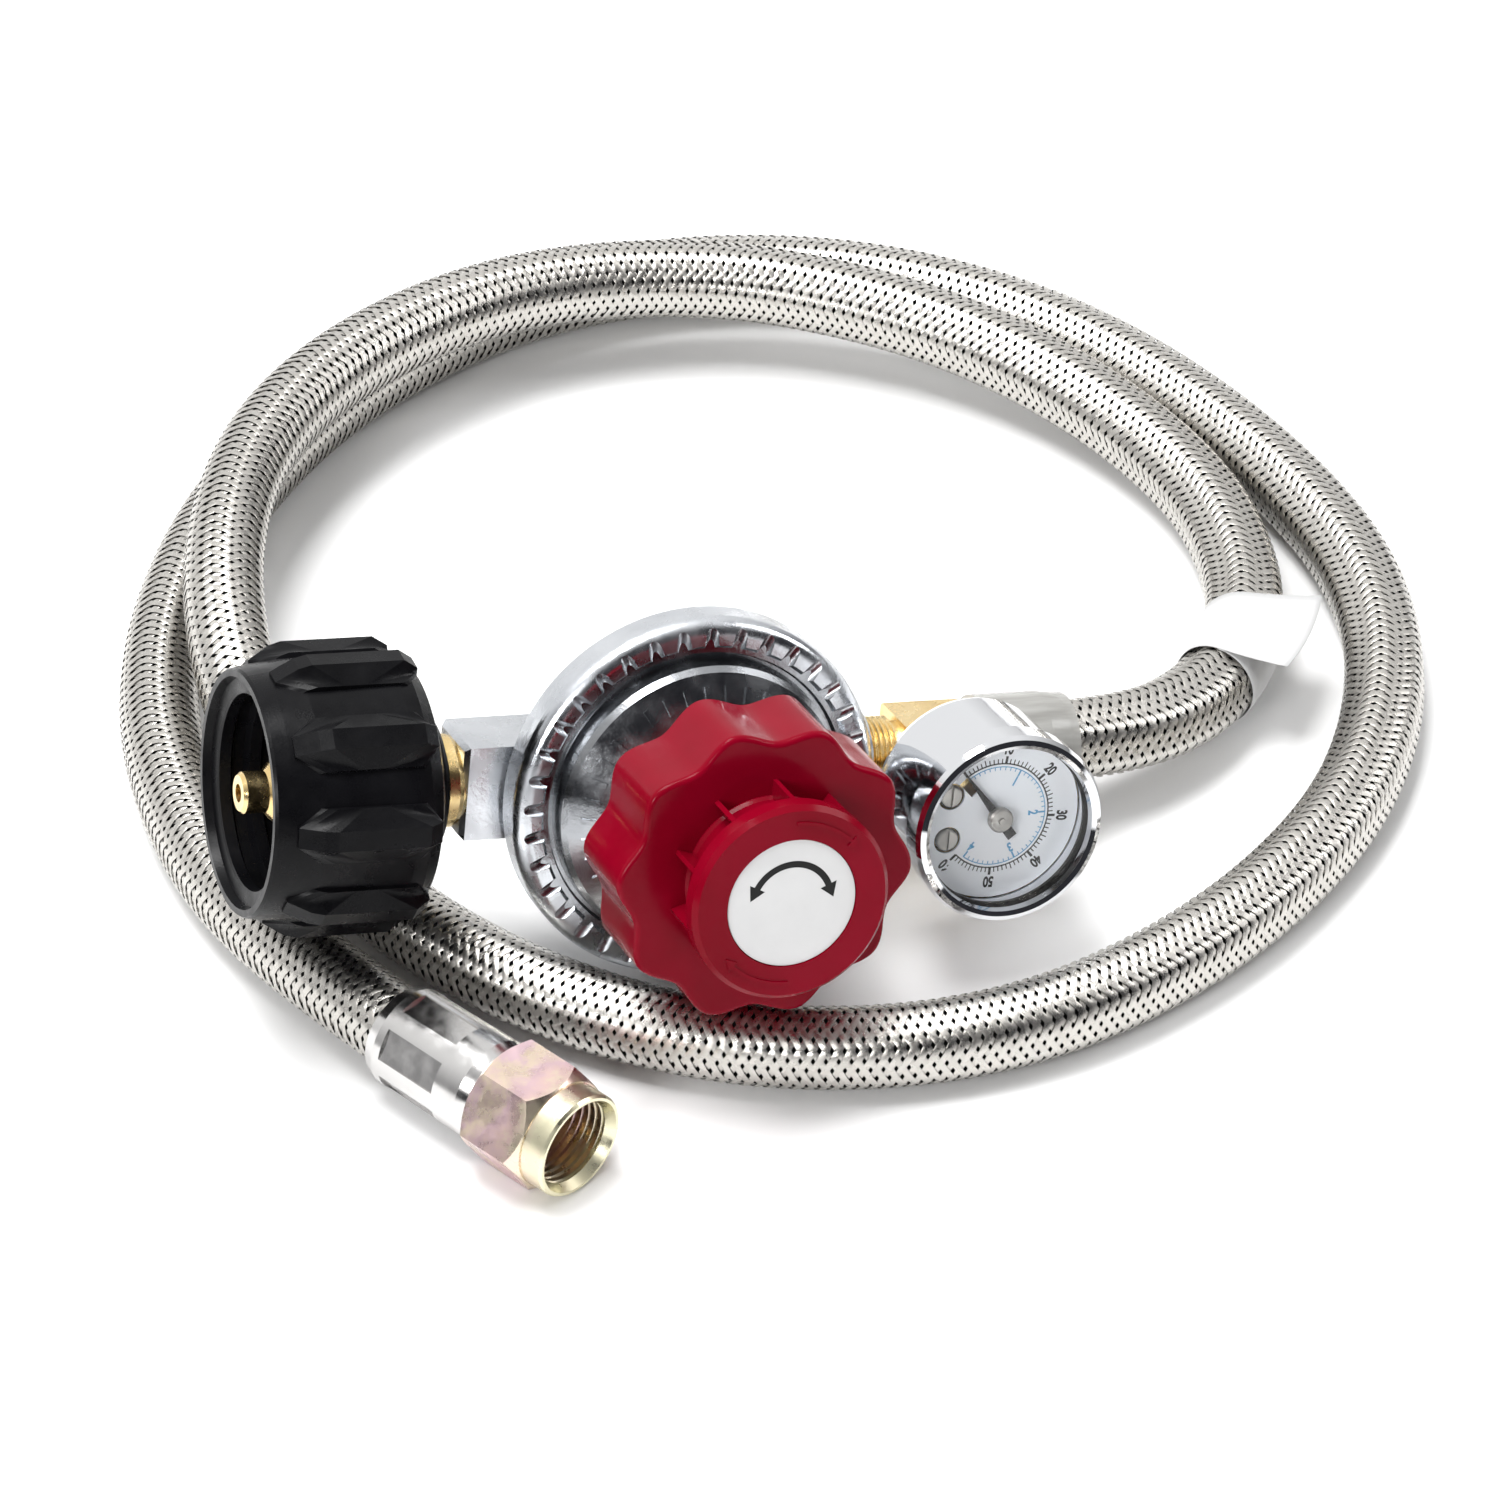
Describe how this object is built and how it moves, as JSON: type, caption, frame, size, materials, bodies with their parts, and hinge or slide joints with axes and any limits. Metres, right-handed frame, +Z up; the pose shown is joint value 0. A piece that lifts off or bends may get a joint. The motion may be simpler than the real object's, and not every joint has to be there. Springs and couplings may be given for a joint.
{
  "type": "propane regulator hose",
  "caption": "Adjustable gas regulator with a hand-tight cylinder nut, pressure gauge and braided hose ending in a flare nut.",
  "frame": {"origin": "on the surface the set lies on, under the middle of the regulator, nut and gauge", "axes": "+X from the cylinder nut towards the gauge, +Y away from the knob, +Z up"},
  "size_m": [0.2235, 0.2305, 0.0639],
  "materials": {
    "die_cast_zinc": "bright die-cast zinc",
    "steel": "plain steel",
    "brass": "turned",
    "chrome": "polished",
    "black_plastic": "fine matte",
    "red_plastic": "glossy crimson",
    "clear_plastic": "clear, a little grey",
    "rubber": "matte",
    "paper": "white label stock",
    "glass": "clear",
    "dial_paint": "satin, printed",
    "black_paint": "satin",
    "braid": "braided stainless wire over a rubber tube",
    "yellow_zinc": "yellow passivated zinc"
  },
  "bodies": {
    "regulator": {"regulator_body": "die_cast_zinc", "bonnet": "die_cast_zinc", "diaphragm": "rubber", "valve_seat": "brass", "poppet_spring": "steel", "adjusting_spring": "steel", "inlet_nipple": "brass", "flow_check_spring": "steel", "flow_check_retainer": "brass", "tee_fitting": "brass", "hose_stem": "brass", "inlet_ferrule": "steel", "clear_sleeve": "clear_plastic", "hose": "braid", "hose_label": "paper", "outlet_ferrule": "chrome", "flare_stem": "brass", "gauge_socket": "brass", "gauge_case": "chrome", "gauge_bezel": "chrome", "window_gasket": "rubber", "gauge_window": "glass", "gauge_dial": "dial_paint", "dial_screws": "steel", "bourdon_tube": "brass", "movement_back_plate": "brass", "movement_front_plate": "brass", "movement_pillars": "brass", "hairspring": "steel", "bourdon_link": "brass"},
    "bushing": {"thermal_bushing": "black_plastic"},
    "nut": {"coupling_nut": "black_plastic"},
    "knob_group": {"knob": "red_plastic", "knob_label": "paper", "adjusting_screw": "brass", "screw_circlip": "steel"},
    "button": {"spring_button": "brass"},
    "valve": {"diaphragm_plate": "steel", "diaphragm_washer": "steel", "valve_poppet": "brass"},
    "flow_check": {"flow_check_poppet": "brass"},
    "sector": {"sector_gear": "brass"},
    "pointer_group": {"pointer_arbor": "brass", "pointer": "black_paint", "pointer_cap": "steel"},
    "end_nut": {"flare_nut": "yellow_zinc"}
  },
  "joints": [
    {"name": "bushing_slide", "type": "slide", "parent": "regulator", "child": "bushing", "axis": [0.9823, 0, -0.1874], "range_m": [-0.0005, 0.0007]},
    {"name": "nut_spin", "type": "hinge", "parent": "bushing", "child": "nut", "pos_m": [0.00263, 0.01736, 0.02823], "axis": [0.9823, 0, -0.1874], "continuous": true},
    {"name": "knob_turn", "type": "hinge", "parent": "regulator", "child": "knob_group", "pos_m": [0.0031, 0.0083, 0.0307], "axis": [-0.0501, 0.9636, -0.2625], "range_deg": [0, 1440]},
    {"name": "button_slide", "type": "slide", "parent": "regulator", "child": "button", "axis": [-0.0501, 0.9636, -0.2625], "range_m": [0, 0.005], "deforming": ["adjusting_spring"]},
    {"name": "valve_slide", "type": "slide", "parent": "regulator", "child": "valve", "axis": [-0.0501, 0.9636, -0.2625], "range_m": [0, 0.0008], "stiffness_N_per_m": 1500, "springref_m": -0.0005, "deforming": ["diaphragm", "poppet_spring"]},
    {"name": "flow_check_slide", "type": "slide", "parent": "regulator", "child": "flow_check", "axis": [0.9823, 0, -0.1874], "range_m": [0, 0.0025], "stiffness_N_per_m": 60, "springref_m": -0.002, "deforming": ["flow_check_spring"]},
    {"name": "sector_turn", "type": "hinge", "parent": "regulator", "child": "sector", "pos_m": [0.05302, 0.00658, 0.01487], "axis": [0.0501, -0.9636, 0.2625], "range_deg": [0, 44], "deforming": ["bourdon_tube", "bourdon_link"]},
    {"name": "pointer_turn", "type": "hinge", "parent": "regulator", "child": "pointer_group", "pos_m": [0.04887, 0.0083, 0.02197], "axis": [-0.0501, 0.9636, -0.2625], "range_deg": [0, 264.5], "deforming": ["hairspring"]},
    {"name": "end_nut_spin", "type": "hinge", "parent": "regulator", "child": "end_nut", "pos_m": [-0.0324, -0.0455, 0.0095], "axis": [0.4801, -0.8772, 0], "continuous": true}
  ],
  "couplings": [
    {"joint": "button_slide", "follows": "knob_turn", "m_per_rad": 0.00019894},
    {"joint": "pointer_turn", "follows": "sector_turn", "ratio": 6}
  ]
}
